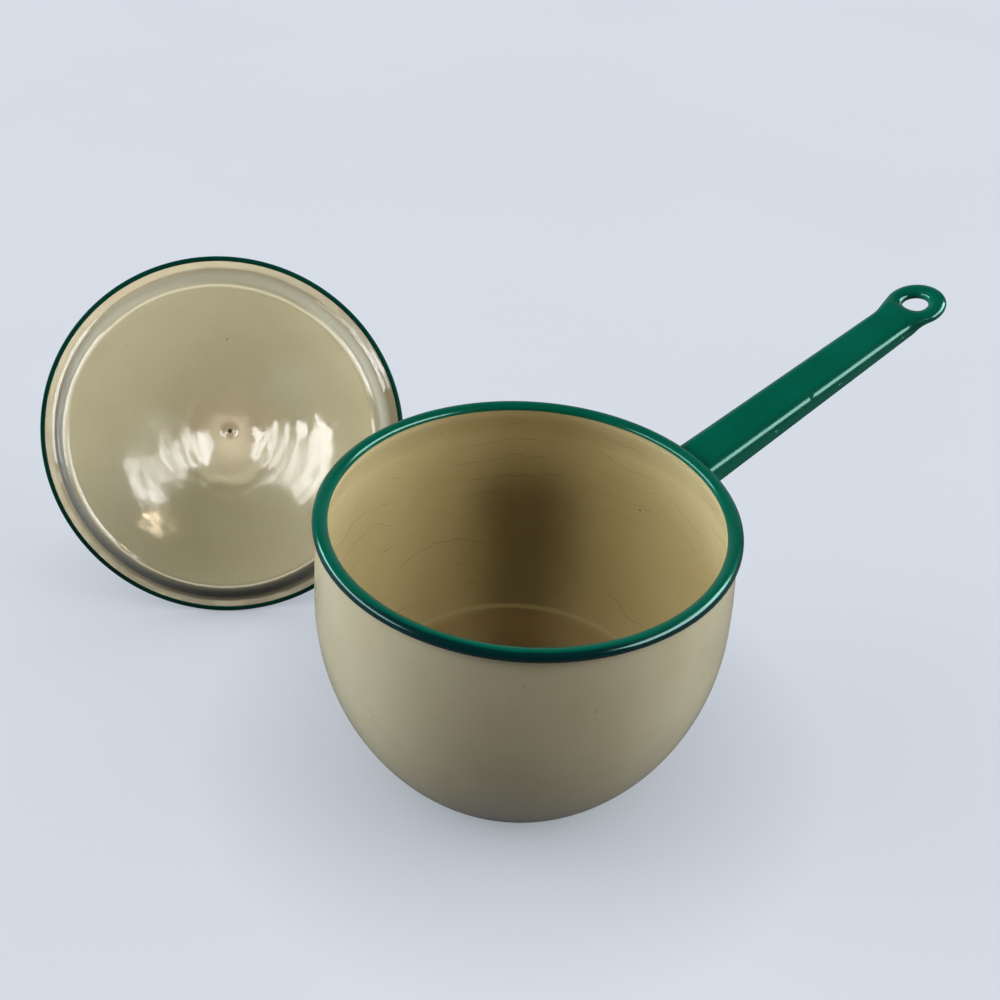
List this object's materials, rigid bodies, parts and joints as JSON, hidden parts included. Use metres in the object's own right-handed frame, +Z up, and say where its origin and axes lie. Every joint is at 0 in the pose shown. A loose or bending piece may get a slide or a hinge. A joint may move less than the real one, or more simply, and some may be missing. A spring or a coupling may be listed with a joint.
{
  "type": "enamel saucepan with lid",
  "caption": "Bellied cream enamel saucepan with a green rolled rim, a hollow green handle with a hanging eye, and a domed lid that stands beside it with its underside to the front.",
  "frame": {"origin": "centre of the pan's flat base, on the surface that it stands on", "axes": "+Z up, +X outward below the handle, +Y to the left of the handle seen from above with the handle pointing right; the lid stands on the +Y side"},
  "size_m": [0.3792, 0.3292, 0.1769],
  "materials": {
    "cream_enamel": "glossy cream vitreous enamel on steel sheet, greyer outside and tan inside, with fine dark specks",
    "lid_enamel": "glossy warm cream vitreous enamel on steel sheet, with a tan flange and worn patches",
    "green_enamel": "glossy dark green vitreous enamel on steel sheet"
  },
  "bodies": {
    "pan": {"pan_bowl": "cream_enamel", "rim_roll": "green_enamel", "handle": "green_enamel", "handle_weld": "green_enamel"},
    "lid": {"lid_shell": "lid_enamel", "lid_edge_roll": "green_enamel", "knob_stem": "green_enamel", "knob_cap": "green_enamel"}
  },
  "joints": [
    {"name": "lid_lift", "type": "slide", "parent": "pan", "child": "lid", "axis": [0, 0, 1], "range_m": [0, 0.16]}
  ]
}
